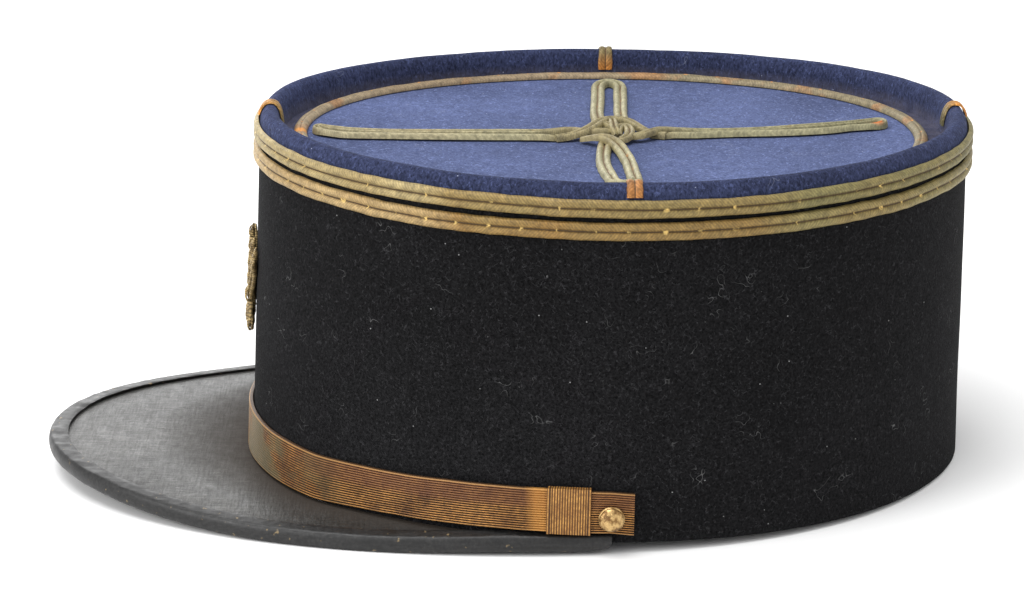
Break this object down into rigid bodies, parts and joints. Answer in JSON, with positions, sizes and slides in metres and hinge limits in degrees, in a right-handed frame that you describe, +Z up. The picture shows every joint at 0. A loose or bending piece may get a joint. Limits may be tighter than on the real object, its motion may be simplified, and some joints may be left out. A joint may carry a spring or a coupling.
{
  "type": "kepi cap",
  "caption": "Stiff oval kepi with a recessed crown in a rolled rim, soutache braids and crown knot, bound leather peak, lace chin strap with slides and buttons, and a front badge.",
  "frame": {"origin": "on the floor under the middle of the cap's box, with the cap standing as it rests", "axes": "+Z up, +Y towards the back of the cap, the peak points to -Y, +X is the wearer's left"},
  "size_m": [0.18, 0.2634, 0.1043],
  "materials": {
    "band_cloth": "matt milled wool cloth, near-black navy",
    "rim_cloth": "matt milled wool cloth, navy blue",
    "crown_cloth": "matt milled wool cloth, mid blue",
    "gold_braid": "tarnished gold soutache, ribbed",
    "peak_leather": "black grained leather with a soft sheen",
    "binding_leather": "dark smooth leather binding, stitched",
    "strap_lace": "ribbed gold lace, coppery and tarnished",
    "button_brass": "gilt brass with a plain raised boss",
    "badge_bullion": "tarnished gold bullion embroidery"
  },
  "bodies": {
    "root": {"band": "band_cloth", "crown_rim": "rim_cloth", "crown_disc": "crown_cloth", "braid_lower": "gold_braid", "braid_upper": "gold_braid", "ring_braid": "gold_braid", "rim_braid_front": "gold_braid", "rim_braid_back": "gold_braid", "rim_braid_left": "gold_braid", "rim_braid_right": "gold_braid", "crown_knot": "gold_braid", "peak": "peak_leather", "peak_binding": "binding_leather", "chin_strap": "strap_lace", "strap_slide_left": "strap_lace", "strap_slide_right": "strap_lace", "button_left": "button_brass", "button_right": "button_brass", "badge": "badge_bullion"}
  },
  "joints": []
}
